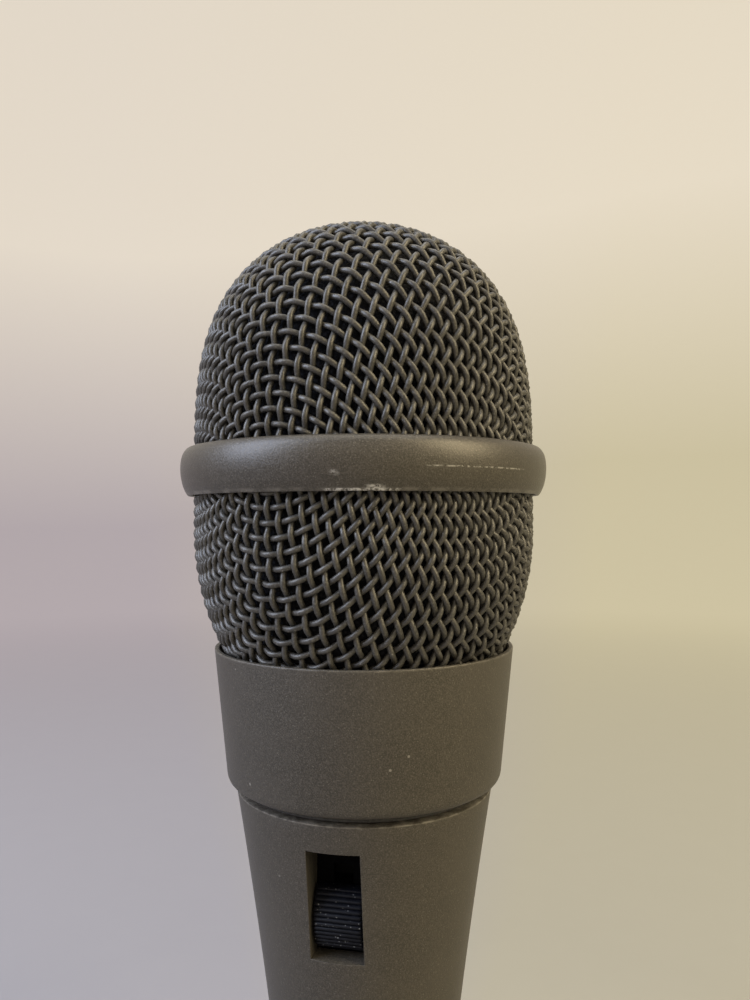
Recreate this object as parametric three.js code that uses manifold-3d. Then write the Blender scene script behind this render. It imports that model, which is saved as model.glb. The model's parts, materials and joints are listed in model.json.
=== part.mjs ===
// Handheld vocal microphone with a slide switch. Millimetres, +Z along the body
// from the connector end to the grille. The origin is the centre of the tail rim
// and the switch faces -Y.
import * as THREE from 'three';
import { mergeVertices } from 'three/addons/utils/BufferGeometryUtils.js';
import Module from 'manifold-3d';

const wasm = await Module();
wasm.setup();

// General
const GAP = 0.3;
const BODY_SIDES = 36;
const FOAM_SIDES = 24;
const CAPSULE_SIDES = 24;
const PIN_SIDES = 12;
const OVERCUT = 1;

// Handle casting
const HANDLE_TOP = 98.35;
const HANDLE_TOP_RADIUS = 18.86;
const HANDLE_TOP_SLOPE = 0.1644;
const HANDLE_CURVE = 0.000522;
const HANDLE_FLARE_FOOT = 24;
const HANDLE_BLEND = 67;
const HANDLE_WALL = 2;
const EDGE_BREAK = 0.35;
const NECK_RADIUS = 16.1;
const NECK_TOP = 104.9;
const NECK_BORE = 14;

// Screwed collar and its washer
const COLLAR_FOOT = 99.46;
const COLLAR_LIP = 118.6;
const COLLAR_LIP_RADIUS = 22.13;
const COLLAR_LIP_BORE = 21.38;
const COLLAR_FOOT_RADIUS = 20.13;
const COLLAR_ROUND = 1.2;
const THREAD_BORE = 16.45;
const THREAD_RING_TOP = 104.6;
const COLLAR_CAVITY = 18.3;
const MESH_LEDGE = 114.6;
const WASHER_RADIUS = 18.2;
const WASHER_BORE = 16.45;

// Grille
const MESH_THICKNESS = 0.9;
const DOME_RADIUS = 25.13;
const DOME_BASE = 144.62;
const DOME_HEIGHT = 36.06;
const DOME_FLANK_POWER = 0.98;
const DOME_CROWN_POWER = 0.633;
const DOME_STEPS = 8;
const BASKET_RADIUS = 25.1;
const BASKET_STRAIGHT_FOOT = 135.34;
const BASKET_DROP = 31.83;
const BASKET_POWER = 1.936;
const BASKET_FOOT = 115;
const BASKET_STEPS = 6;
const MESH_JOIN = 144.15;
const BAND_FOOT = 140.5;
const BAND_TOP = 147.4;
const BAND_BORE = 25.43;
const FOAM_THICKNESS = 2.4;
const FOAM_FOOT = 118.4;

// Capsule
const CAPSULE_RADIUS = 15;
const CAPSULE_WALL = 1.4;
const CAPSULE_RIM = 134;
const CAPSULE_SHOULDER = 114;
const CHAMBER_RADIUS = 10;
const CHAMBER_FOOT = 97.5;
const CHAMBER_WALL = 1.2;
const YOKE_RADIUS = 12.8;
const YOKE_BORE = 9.8;
const YOKE_FOOT = 119;
const YOKE_FLOOR = 121.5;
const YOKE_RIM = 130.5;
const MAGNET_RADIUS = 7.6;
const POLE_RADIUS = 8.5;
const POLE_THICKNESS = 2.6;
const COIL_RADIUS = 9.15;
const COIL_THICKNESS = 0.55;
const COIL_FOOT = 127.5;
const DIAPHRAGM_Z = 133;
const DIAPHRAGM_THICKNESS = 0.3;
const DIAPHRAGM_RADIUS = 13.2;
const DIAPHRAGM_DOME = 1.7;
const CAP_TOP = 137.5;
const CAP_THICKNESS = 1.3;

// Switch
const WINDOW_WIDTH = 7.2;
const WINDOW_FOOT = 79.5;
const WINDOW_TOP = 94.5;
const WINDOW_FLOOR_Y = -12.6;
const BOSS_WIDTH = 10;
const BOSS_FOOT = 76.2;
const BOSS_TOP = 97.8;
const KNOB_WIDTH = 6.2;
const KNOB_LENGTH = 7.8;
const KNOB_FOOT = 81.3;
const KNOB_CREST_Y = -14.8;
const KNOB_END_Y = -13.7;
const RIB_COUNT = 11;
const RIB_HEIGHT = 0.28;
const SLIDE_TRAVEL = 4;
const STEM_WIDTH = 2.2;
const STEM_LENGTH = 2.6;

// Connector
const SOCKET_RADIUS = 8;
const SOCKET_DEPTH = 20;
const SOCKET_STOP_RADIUS = 6.9;
const INSERT_FOOT = 13.8;
const PIN_RADIUS = 1.2;
const PIN_CIRCLE = 4;
const PIN_TIP = 2;
const PIN_CUP = 23;
const SET_SCREW_Z = 16.8;

// Transformer
const CORE_FOOT = 52;
const CORE_WIDTH = 14;
const CORE_HEIGHT = 12;
const CORE_DEPTH = 6;
const CORE_LEG = 4;
const CORE_WINDOW = 3;
const CORE_YOKE = 2.5;

const FINISH = {
  paint: { color: 0x59544d, roughness: 0.62, metalness: 0.35 },
  wire: { color: 0x4a4845, roughness: 0.5, metalness: 0.5 },
  foam: { color: 0x17181a, roughness: 1, metalness: 0 },
  rubber: { color: 0x1b1b1c, roughness: 0.85, metalness: 0 },
  blackPlastic: { color: 0x191a1f, roughness: 0.5, metalness: 0 },
  greyPlastic: { color: 0x3c3f44, roughness: 0.55, metalness: 0 },
  steel: { color: 0x9a9b9c, roughness: 0.35, metalness: 0.9 },
  magnet: { color: 0x5f6063, roughness: 0.45, metalness: 0.8 },
  brass: { color: 0xb8965a, roughness: 0.35, metalness: 0.9 },
  copper: { color: 0xa8643a, roughness: 0.4, metalness: 0.8 },
  film: { color: 0xcfd2cf, roughness: 0.2, metalness: 0 },
  felt: { color: 0x6f6a62, roughness: 1, metalness: 0 },
  board: { color: 0x2f5a3c, roughness: 0.5, metalness: 0 },
  amberGlue: { color: 0x8a6a34, roughness: 0.45, metalness: 0 },
  red: { color: 0xa02a22, roughness: 0.5, metalness: 0 },
  black: { color: 0x202022, roughness: 0.5, metalness: 0 },
  green: { color: 0x2c6b3c, roughness: 0.5, metalness: 0 },
};

const microphone = new THREE.Group();
microphone.name = 'dynamic_microphone';

function addPiece(name, finish, solid) {
  const mesh = new THREE.Mesh(geometryOf(solid), new THREE.MeshStandardMaterial(FINISH[finish]));
  mesh.name = name;
  microphone.add(mesh);
}

// Welds a geometry's vertices, drops collapsed triangles and returns a solid.
function solidOf(geometry) {
  const bare = geometry.clone();
  bare.deleteAttribute('normal');
  bare.deleteAttribute('uv');
  const welded = mergeVertices(bare, 1e-4);
  const index = Array.from(welded.index.array);
  const kept = [];
  for (let i = 0; i < index.length; i += 3) {
    const [a, b, c] = index.slice(i, i + 3);
    if (a !== b && b !== c && c !== a) {
      kept.push(a, b, c);
    }
  }
  const mesh = new wasm.Mesh({
    numProp: 3,
    vertProperties: new Float32Array(welded.attributes.position.array),
    triVerts: new Uint32Array(kept),
  });
  mesh.merge();
  return new wasm.Manifold(mesh);
}

function geometryOf(solid) {
  const mesh = solid.getMesh();
  const geometry = new THREE.BufferGeometry();
  geometry.setAttribute('position', new THREE.BufferAttribute(new Float32Array(mesh.vertProperties), 3));
  geometry.setIndex(new THREE.BufferAttribute(new Uint32Array(mesh.triVerts), 1));
  geometry.computeVertexNormals();
  return geometry;
}

// Revolves [radius, z] points, listed up the outside and down the inside.
// A profile that doesn't start on the axis is closed on itself.
function turned(profile, sides) {
  const points = profile.map(([radius, z]) => new THREE.Vector2(radius, z));
  if (profile[0][0] > 0) {
    points.push(points[0].clone());
  }
  const geometry = new THREE.LatheGeometry(points, sides);
  geometry.rotateX(Math.PI / 2);
  return solidOf(geometry);
}

// A disc, or a ring when the bore is above zero.
function ring(outer, bore, foot, top, sides) {
  return turned([[bore, foot], [outer, foot], [outer, top], [bore, top]], sides);
}

function box(width, depth, height, centreX, centreY, foot) {
  const geometry = new THREE.BoxGeometry(width, depth, height);
  geometry.translate(centreX, centreY, foot + height / 2);
  return solidOf(geometry);
}

// A block centred on X, between two Y positions and two heights.
function slab(width, fromY, toY, foot, top) {
  return box(width, toY - fromY, top - foot, 0, (fromY + toY) / 2, foot);
}

function rodZ(radius, foot, top, centreX, centreY) {
  return ring(radius, 0, foot, top, PIN_SIDES).translate([centreX, centreY, 0]);
}

// A round rod along Y between two Y positions.
function rodY(radius, fromY, toY, centreX, centreZ) {
  const geometry = new THREE.CylinderGeometry(radius, radius, toY - fromY, PIN_SIDES);
  geometry.translate(centreX, (fromY + toY) / 2, centreZ);
  return solidOf(geometry);
}

// An outline in the Y-Z plane given as [y, z] points, extruded across X.
function extrudedAcross(outline, width) {
  const shape = new THREE.Shape(outline.map(([y, z]) => new THREE.Vector2(y, z)));
  const geometry = new THREE.ExtrudeGeometry(shape, { depth: width, bevelEnabled: false });
  const turn = new THREE.Matrix4();
  turn.set(0, 0, 1, -width / 2, 1, 0, 0, 0, 0, 1, 0, 0, 0, 0, 0, 1);
  geometry.applyMatrix4(turn);
  return solidOf(geometry);
}

function lead(points, radius = 0.5) {
  const path = new THREE.CatmullRomCurve3(points.map((point) => new THREE.Vector3(...point)));
  const section = new THREE.Shape();
  section.absarc(0, 0, radius, 0, 2 * Math.PI);
  const options = { steps: 2 * points.length, curveSegments: 4, bevelEnabled: false, extrudePath: path };
  return solidOf(new THREE.ExtrudeGeometry(section, options));
}

function stations(from, to, steps) {
  return Array.from({ length: steps + 1 }, (unused, i) => from + ((to - from) * i) / steps);
}

// ---- handle ----
const blendDepth = HANDLE_TOP - HANDLE_BLEND;
const blendRadius = HANDLE_TOP_RADIUS - HANDLE_TOP_SLOPE * blendDepth + HANDLE_CURVE * blendDepth ** 2;
const blendSlope = HANDLE_TOP_SLOPE - 2 * HANDLE_CURVE * blendDepth;
const flareLength = HANDLE_BLEND - HANDLE_FLARE_FOOT;
const tailRadius = blendRadius - (blendSlope * flareLength) / 2;

// The handle flares from a straight tail in two smooth parabolic stretches.
function handleRadius(z) {
  if (z >= HANDLE_BLEND) {
    const depth = HANDLE_TOP - z;
    return HANDLE_TOP_RADIUS - HANDLE_TOP_SLOPE * depth + HANDLE_CURVE * depth ** 2;
  }
  const rise = Math.max(z - HANDLE_FLARE_FOOT, 0);
  return tailRadius + (blendSlope * rise ** 2) / (2 * flareLength);
}

const handleStations = [
  ...stations(HANDLE_FLARE_FOOT, HANDLE_BLEND, 4),
  ...stations(77, HANDLE_TOP - EDGE_BREAK, 2),
];
const handleOutside = turned([
  [0, 0],
  [tailRadius - EDGE_BREAK, 0],
  [tailRadius, EDGE_BREAK],
  ...handleStations.map((z) => [handleRadius(z), z]),
  [HANDLE_TOP_RADIUS - EDGE_BREAK, HANDLE_TOP],
  [NECK_RADIUS, HANDLE_TOP],
  [NECK_RADIUS, NECK_TOP],
  [0, NECK_TOP],
], BODY_SIDES);
const cavityStations = stations(HANDLE_FLARE_FOOT + 1, HANDLE_BLEND + 12, 5);
const handleCavity = turned([
  [0, -OVERCUT],
  [SOCKET_RADIUS + 0.6, -OVERCUT],
  [SOCKET_RADIUS + 0.6, 0],
  [SOCKET_RADIUS, 0.6],
  [SOCKET_RADIUS, SOCKET_DEPTH],
  [SOCKET_STOP_RADIUS, SOCKET_DEPTH],
  [SOCKET_STOP_RADIUS, SOCKET_DEPTH + 1.5],
  ...cavityStations.map((z) => [handleRadius(z) - HANDLE_WALL, z]),
  [NECK_BORE, NECK_TOP - 20],
  [NECK_BORE, NECK_TOP + OVERCUT],
  [0, NECK_TOP + OVERCUT],
], BODY_SIDES);

// The window opens through a boss that stays behind when the cavity is hollowed.
const bossOuterY = -handleRadius(WINDOW_TOP) - OVERCUT;
const boss = slab(BOSS_WIDTH, bossOuterY, WINDOW_FLOOR_Y, BOSS_FOOT, BOSS_TOP);
const windowCut = slab(WINDOW_WIDTH, bossOuterY - OVERCUT, WINDOW_FLOOR_Y + OVERCUT, WINDOW_FOOT, WINDOW_TOP);
const screwHeights = [(BOSS_TOP + WINDOW_TOP) / 2, (BOSS_FOOT + WINDOW_FOOT) / 2];
const SCREW_SHANK = 0.75;
const SCREW_HEAD = 1.3;
const SCREW_GRIP = 1.7;
const latchGroove = box(3, 2, INSERT_FOOT + OVERCUT, 0, SOCKET_RADIUS, -OVERCUT);
let handle = handleOutside.subtract(handleCavity.subtract(boss));
handle = handle.subtract(windowCut).subtract(latchGroove);
for (const z of screwHeights) {
  const screwTipY = WINDOW_FLOOR_Y - SCREW_GRIP;
  handle = handle.subtract(rodY(SCREW_SHANK + GAP, screwTipY, WINDOW_FLOOR_Y + OVERCUT, 0, z));
}
const SET_SCREW_RADIUS = 1.1;
const setScrewHole = rodY(SET_SCREW_RADIUS + GAP, 5.2, tailRadius + OVERCUT, 0, SET_SCREW_Z);
addPiece('handle_shell', 'paint', handle.subtract(setScrewHole));

// ---- collar and washer ----
addPiece('collar', 'paint', turned([
  [THREAD_BORE, COLLAR_FOOT],
  [COLLAR_FOOT_RADIUS - 0.9, COLLAR_FOOT],
  [COLLAR_FOOT_RADIUS - 0.3, COLLAR_FOOT + 0.4],
  [COLLAR_FOOT_RADIUS, COLLAR_FOOT + COLLAR_ROUND],
  [COLLAR_LIP_RADIUS, COLLAR_LIP - 0.25],
  [COLLAR_LIP_RADIUS - 0.25, COLLAR_LIP],
  [COLLAR_LIP_BORE, COLLAR_LIP],
  [COLLAR_LIP_BORE - 0.6, MESH_LEDGE],
  [COLLAR_CAVITY, MESH_LEDGE],
  [COLLAR_CAVITY, THREAD_RING_TOP + 1.2],
  [THREAD_BORE + 0.5, THREAD_RING_TOP],
  [THREAD_BORE, THREAD_RING_TOP],
], BODY_SIDES));
const washer = ring(WASHER_RADIUS, WASHER_BORE, HANDLE_TOP + GAP, COLLAR_FOOT - GAP, BODY_SIDES);
addPiece('seal_washer', 'rubber', washer);

// ---- grille ----
// Upper half of the ball from its widest level to the crown, drawn in by an inset.
function domeProfile(inset) {
  return stations(0, 1, DOME_STEPS).map((share) => {
    const angle = (Math.PI / 2) * share ** 1.6;
    const radius = (DOME_RADIUS - inset) * Math.max(Math.cos(angle), 0) ** DOME_FLANK_POWER;
    const z = DOME_BASE + (DOME_HEIGHT - inset) * Math.sin(angle) ** DOME_CROWN_POWER;
    return [share < 1 ? radius : 0, z];
  });
}

// Lower half of the ball, listed upwards.
function basketProfile(inset, foot) {
  return stations(foot, BASKET_STRAIGHT_FOOT, BASKET_STEPS).map((z) => {
    const fall = (BASKET_STRAIGHT_FOOT - z) / BASKET_DROP;
    return [(BASKET_RADIUS - inset) * (1 - fall ** BASKET_POWER) ** (1 / BASKET_POWER), z];
  });
}

const domeFoot = MESH_JOIN + GAP / 2;
const basketTop = MESH_JOIN - GAP / 2;
addPiece('grille_dome', 'wire', turned([
  [DOME_RADIUS - MESH_THICKNESS, domeFoot],
  [DOME_RADIUS, domeFoot],
  ...domeProfile(0),
  ...domeProfile(MESH_THICKNESS).reverse(),
].slice(1, -1).concat([[DOME_RADIUS - MESH_THICKNESS, domeFoot]]), BODY_SIDES));
addPiece('grille_basket', 'wire', turned([
  ...basketProfile(0, BASKET_FOOT),
  [BASKET_RADIUS, basketTop],
  [BASKET_RADIUS - MESH_THICKNESS, basketTop],
  ...basketProfile(MESH_THICKNESS, BASKET_FOOT).reverse(),
], BODY_SIDES));
addPiece('grille_band', 'paint', turned([
  [BAND_BORE, BAND_FOOT],
  [25.95, BAND_FOOT],
  [26.2, 141],
  [26.62, 141.9],
  [26.92, 143.2],
  [27.02, 144.6],
  [26.72, 146.6],
  [26.25, 147.15],
  [BAND_BORE + 0.1, BAND_TOP],
  [BAND_BORE, BAND_TOP],
], BODY_SIDES));
const foamOutset = MESH_THICKNESS + GAP;
const foamInset = foamOutset + FOAM_THICKNESS;
addPiece('foam_liner', 'foam', turned([
  ...basketProfile(foamOutset, FOAM_FOOT),
  ...domeProfile(foamOutset),
  ...domeProfile(foamInset).reverse(),
  ...basketProfile(foamInset, FOAM_FOOT).reverse(),
], FOAM_SIDES));

// ---- capsule ----
const MOUNT_FLANGE_TOP = 107.4;
addPiece('shock_mount', 'rubber', turned([
  [CHAMBER_RADIUS + GAP, COLLAR_FOOT],
  [NECK_BORE - GAP, COLLAR_FOOT],
  [NECK_BORE - GAP, NECK_TOP + GAP],
  [NECK_RADIUS - GAP, NECK_TOP + GAP],
  [NECK_RADIUS - GAP, MOUNT_FLANGE_TOP - 0.6],
  [NECK_RADIUS - 1, MOUNT_FLANGE_TOP],
  [CHAMBER_RADIUS + GAP, MOUNT_FLANGE_TOP],
], CAPSULE_SIDES));
const capsuleBore = CAPSULE_RADIUS - CAPSULE_WALL;
const chamberBore = CHAMBER_RADIUS - CHAMBER_WALL;
addPiece('capsule_housing', 'greyPlastic', turned([
  [0, CHAMBER_FOOT],
  [CHAMBER_RADIUS, CHAMBER_FOOT],
  [CHAMBER_RADIUS, CAPSULE_SHOULDER - 4],
  [CAPSULE_RADIUS, CAPSULE_SHOULDER + 1],
  [CAPSULE_RADIUS, CAPSULE_RIM],
  [capsuleBore, CAPSULE_RIM],
  [capsuleBore, CAPSULE_SHOULDER + 3.4],
  [chamberBore, CAPSULE_SHOULDER - 1],
  [chamberBore, CHAMBER_FOOT + CHAMBER_WALL],
  [0, CHAMBER_FOOT + CHAMBER_WALL],
], CAPSULE_SIDES));
const felt = ring(YOKE_RADIUS, 3, CAPSULE_SHOULDER + 3.7, YOKE_FOOT - GAP, CAPSULE_SIDES);
addPiece('damping_felt', 'felt', felt);
addPiece('magnet_yoke', 'steel', turned([
  [0, YOKE_FOOT],
  [YOKE_RADIUS, YOKE_FOOT],
  [YOKE_RADIUS, YOKE_RIM],
  [YOKE_BORE, YOKE_RIM],
  [YOKE_BORE, YOKE_FLOOR],
  [0, YOKE_FLOOR],
], CAPSULE_SIDES));
const poleFoot = YOKE_RIM - POLE_THICKNESS;
addPiece('magnet', 'magnet', ring(MAGNET_RADIUS, 0, YOKE_FLOOR + GAP, poleFoot - GAP, CAPSULE_SIDES));
addPiece('pole_plate', 'steel', ring(POLE_RADIUS, 0, poleFoot, YOKE_RIM, CAPSULE_SIDES));
const coilHalf = COIL_THICKNESS / 2;
const coilTop = DIAPHRAGM_Z - GAP;
const coil = ring(COIL_RADIUS + coilHalf, COIL_RADIUS - coilHalf, COIL_FOOT, coilTop, CAPSULE_SIDES);
addPiece('voice_coil', 'copper', coil);
addPiece('diaphragm_ring', 'brass', ring(13.3, 11.8, YOKE_RIM + GAP, coilTop, CAPSULE_SIDES));

// Centre dome, glue line over the coil and a half-roll surround.
const diaphragmUnderside = [
  [0, DIAPHRAGM_Z + DIAPHRAGM_DOME],
  [3.4, DIAPHRAGM_Z + 0.88 * DIAPHRAGM_DOME],
  [6.6, DIAPHRAGM_Z + 0.5 * DIAPHRAGM_DOME],
  [COIL_RADIUS - 0.4, DIAPHRAGM_Z],
  [COIL_RADIUS + 0.5, DIAPHRAGM_Z],
  [COIL_RADIUS + 1.5, DIAPHRAGM_Z + 0.7],
  [COIL_RADIUS + 2.4, DIAPHRAGM_Z],
  [DIAPHRAGM_RADIUS, DIAPHRAGM_Z],
];
const diaphragmTopside = diaphragmUnderside.map(([radius, z]) => [radius, z + DIAPHRAGM_THICKNESS]);
const diaphragmProfile = [...diaphragmUnderside, ...diaphragmTopside.reverse()];
addPiece('diaphragm', 'film', turned(diaphragmProfile, CAPSULE_SIDES));

let frontCap = turned([
  [0, CAP_TOP - CAP_THICKNESS],
  [capsuleBore, CAP_TOP - CAP_THICKNESS],
  [capsuleBore, CAPSULE_RIM + GAP],
  [CAPSULE_RADIUS, CAPSULE_RIM + GAP],
  [CAPSULE_RADIUS, CAP_TOP - 0.6],
  [CAPSULE_RADIUS - 0.6, CAP_TOP],
  [0, CAP_TOP],
], CAPSULE_SIDES);
const SOUND_HOLES = 8;
const SOUND_HOLE_RADIUS = 1.9;
const SOUND_HOLE_CIRCLE = 9;
for (let i = 0; i < SOUND_HOLES; i += 1) {
  const angle = (2 * Math.PI * i) / SOUND_HOLES;
  const x = SOUND_HOLE_CIRCLE * Math.cos(angle);
  const y = SOUND_HOLE_CIRCLE * Math.sin(angle);
  frontCap = frontCap.subtract(rodZ(SOUND_HOLE_RADIUS, CAPSULE_RIM, CAP_TOP + OVERCUT, x, y));
}
frontCap = frontCap.subtract(rodZ(SOUND_HOLE_RADIUS, CAPSULE_RIM, CAP_TOP + OVERCUT, 0, 0));
addPiece('capsule_front_cap', 'greyPlastic', frontCap);
addPiece('capsule_cloth', 'felt', ring(13, 0, CAP_TOP + GAP, CAP_TOP + 2 * GAP, CAPSULE_SIDES));

const TERMINAL_FOOT = 94.7;
for (const [name, colour, side] of [['plus', 'red', 1], ['minus', 'black', -1]]) {
  const x = 4 * side;
  const tag = box(2, 0.6, CHAMBER_FOOT - GAP - TERMINAL_FOOT, x, 0, TERMINAL_FOOT);
  addPiece(`capsule_terminal_${name}`, 'brass', tag);
  addPiece(`capsule_lead_${colour}`, colour, lead([
    [x, 0, TERMINAL_FOOT - GAP],
    [x, 0, TERMINAL_FOOT - 2.5],
    [x * 0.9, -1.4, TERMINAL_FOOT - 4.6],
    [x * 0.8, -4.2, TERMINAL_FOOT - 5.2],
  ]));
}

// ---- switch ----
const knobMiddle = KNOB_FOOT + KNOB_LENGTH / 2;
const plateFront = WINDOW_FLOOR_Y + GAP;
const plateBack = plateFront + 0.6;
const stemFoot = knobMiddle - STEM_LENGTH / 2;
const stemTop = knobMiddle + STEM_LENGTH / 2;
const stemSlotTop = stemTop + SLIDE_TRAVEL + GAP;
const slotY = [plateFront - OVERCUT, plateBack + OVERCUT];
let switchPlate = slab(BOSS_WIDTH, plateFront, plateBack, BOSS_FOOT, BOSS_TOP);
switchPlate = switchPlate.subtract(slab(STEM_WIDTH + 2 * GAP, ...slotY, stemFoot - GAP, stemSlotTop));
for (const z of screwHeights) {
  switchPlate = switchPlate.subtract(rodY(SCREW_SHANK + GAP, ...slotY, 0, z));
}
addPiece('switch_plate', 'blackPlastic', switchPlate);

const SCREW_HEAD_HEIGHT = 0.9;
['upper', 'lower'].forEach((place, i) => {
  const z = screwHeights[i];
  const headUnderside = plateBack + GAP;
  const headTop = headUnderside + SCREW_HEAD_HEIGHT;
  const shank = rodY(SCREW_SHANK, WINDOW_FLOOR_Y - SCREW_GRIP + GAP, headUnderside + 0.1, 0, z);
  const slot = slab(0.4, headTop - 0.4, headTop + OVERCUT, z - 2 * SCREW_HEAD, z + 2 * SCREW_HEAD);
  const screw = rodY(SCREW_HEAD, headUnderside, headTop, 0, z).add(shank).subtract(slot);
  addPiece(`switch_screw_${place}`, 'steel', screw);
});

// Ribbed thumb piece: an arched crest with crossing ribs, hollowed for the stem.
const knobBack = plateFront - 0.4;
const knobCrest = [];
for (let i = 0; i <= 2 * RIB_COUNT; i += 1) {
  const along = -1 + i / RIB_COUNT;
  const arch = KNOB_END_Y + (KNOB_CREST_Y - KNOB_END_Y) * (1 - along ** 2);
  knobCrest.push([arch + (i % 2 === 0 ? RIB_HEIGHT : 0), knobMiddle + (along * KNOB_LENGTH) / 2]);
}
const knobOutline = [[knobBack, KNOB_FOOT], ...knobCrest, [knobBack, KNOB_FOOT + KNOB_LENGTH]];
const stemTip = knobBack - 0.8;
const knobSocket = slab(STEM_WIDTH + 2 * GAP, stemTip - GAP, knobBack + OVERCUT,
  stemFoot - GAP, stemTop + GAP);
addPiece('switch_knob', 'blackPlastic', extrudedAcross(knobOutline, KNOB_WIDTH).subtract(knobSocket));

const switchFront = plateBack + GAP;
const SWITCH_BACK = -6.6;
const SHUTTLE_WIDTH = 5;
const SHUTTLE_LENGTH = 5.4;
const shuttleFront = switchFront + GAP;
const shuttleBack = shuttleFront + 2.4;
const shuttleFoot = knobMiddle - SHUTTLE_LENGTH / 2;
const shuttleTop = knobMiddle + SHUTTLE_LENGTH / 2;
const stem = slab(STEM_WIDTH, stemTip, shuttleFront + 0.2, stemFoot, stemTop);
const shuttle = slab(SHUTTLE_WIDTH, shuttleFront, shuttleBack, shuttleFoot, shuttleTop);
addPiece('switch_slider', 'blackPlastic', shuttle.add(stem));

const SWITCH_FOOT = 79.8;
const SWITCH_TOP = 94.2;
const switchCan = slab(8.4, switchFront, SWITCH_BACK, SWITCH_FOOT, SWITCH_TOP);
const shuttleWayTop = shuttleTop + SLIDE_TRAVEL + GAP;
const shuttleWay = slab(SHUTTLE_WIDTH + 2 * GAP, switchFront - OVERCUT, shuttleBack + GAP,
  shuttleFoot - GAP, shuttleWayTop);
addPiece('switch_body', 'steel', switchCan.subtract(shuttleWay));
const boardFront = SWITCH_BACK + GAP;
const boardBack = boardFront + 1;
addPiece('switch_board', 'board', slab(11, boardFront, boardBack, 77, 96));
const solderY = boardBack + 0.8;

// ---- transformer ----
const coreWindowHeight = CORE_HEIGHT - 2 * CORE_YOKE;
const windowX = CORE_LEG / 2 + CORE_WINDOW / 2;
let core = box(CORE_WIDTH, CORE_DEPTH, CORE_HEIGHT, 0, 0, CORE_FOOT);
for (const x of [-windowX, windowX]) {
  core = core.subtract(box(CORE_WINDOW, CORE_DEPTH + OVERCUT, coreWindowHeight, x, 0, CORE_FOOT + CORE_YOKE));
}
addPiece('transformer_core', 'steel', core);
const windingWidth = CORE_LEG + 2 * CORE_WINDOW - 2 * GAP;
const windingDepth = CORE_DEPTH + 2 * CORE_WINDOW - 2 * GAP;
const windingHeight = coreWindowHeight - 2 * GAP;
const windingFoot = CORE_FOOT + CORE_YOKE + GAP;
const windingBore = box(CORE_LEG + 2 * GAP, CORE_DEPTH + 2 * GAP, CORE_HEIGHT, 0, 0, CORE_FOOT);
addPiece('transformer_winding', 'copper',
  box(windingWidth, windingDepth, windingHeight, 0, 0, windingFoot).subtract(windingBore));

// A plug of glue under the core, with a way through for the connector leads.
const LEAD_X = 2.6;
const LEAD_Y = 8;
const plugTop = CORE_FOOT - GAP;
const plugFoot = plugTop - 4;
const plugRadius = handleRadius(plugFoot) - HANDLE_WALL - GAP - 0.1;
const leadWay = box(8, 3, 6, 0, LEAD_Y + 0.6, plugFoot - OVERCUT);
const plug = ring(plugRadius, 0, plugFoot, plugTop, CAPSULE_SIDES).subtract(leadWay);
addPiece('transformer_potting', 'amberGlue', plug);
const coreTop = CORE_FOOT + CORE_HEIGHT;
for (const [name, side] of [['a', 1], ['b', -1]]) {
  addPiece(`transformer_lead_${name}`, 'green', lead([
    [3 * side, -4.5, windingFoot + windingHeight + GAP],
    [3.6 * side, -5, coreTop + 3],
    [4 * side, -2.6, coreTop + 9],
    [4 * side, solderY, coreTop + 15],
  ]));
}

// ---- connector ----
const pinPlaces = [[PIN_CIRCLE, 0], [-PIN_CIRCLE, 0], [0, -PIN_CIRCLE]];
let insert = ring(SOCKET_RADIUS - GAP, 0, INSERT_FOOT, SOCKET_DEPTH - GAP, CAPSULE_SIDES);
for (const [x, y] of pinPlaces) {
  insert = insert.subtract(rodZ(PIN_RADIUS + GAP, INSERT_FOOT - OVERCUT, SOCKET_DEPTH + OVERCUT, x, y));
}
addPiece('xlr_insert', 'blackPlastic', insert.subtract(setScrewHole));

const leadPlaces = [[LEAD_X, 'ground', 'black'], [0, 'hot', 'red'], [-LEAD_X, 'cold', 'green']];
pinPlaces.forEach(([x, y], i) => {
  const pin = turned([
    [0, PIN_TIP],
    [0.7, PIN_TIP],
    [PIN_RADIUS, PIN_TIP + 0.9],
    [PIN_RADIUS, PIN_CUP],
    [0, PIN_CUP],
  ], PIN_SIDES).translate([x, y, 0]);
  const cup = rodZ(0.7, PIN_CUP - 2, PIN_CUP + OVERCUT, x, y);
  addPiece(`xlr_pin_${i + 1}`, 'brass', pin.subtract(cup));
});
// Pin 1 takes the ground lead, pin 3 the one that starts nearest the middle.
const leadStarts = [pinPlaces[0], pinPlaces[2], pinPlaces[1]];
leadPlaces.forEach(([leadX, name, colour], i) => {
  const [x, y] = leadStarts[i];
  addPiece(`xlr_lead_${name}`, colour, lead([
    [x, y, PIN_CUP + GAP],
    [x, y, PIN_CUP + 5],
    [leadX, LEAD_Y - 1.5, 40],
    [leadX, LEAD_Y, plugFoot],
    [leadX, LEAD_Y, coreTop],
    [leadX, 5, 72],
    [leadX, -1, 77],
    [leadX, solderY, 81],
  ]));
});
const setScrew = rodY(SET_SCREW_RADIUS, 5.5, tailRadius - 0.4, 0, SET_SCREW_Z);
const setScrewSlot = slab(0.4, tailRadius - 1, tailRadius, SET_SCREW_Z - 2, SET_SCREW_Z + 2);
addPiece('xlr_set_screw', 'steel', setScrew.subtract(setScrewSlot));

export default microphone;
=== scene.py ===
import json
import math

import bmesh
import bpy
import numpy as np
from mathutils import Matrix, Vector


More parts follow.
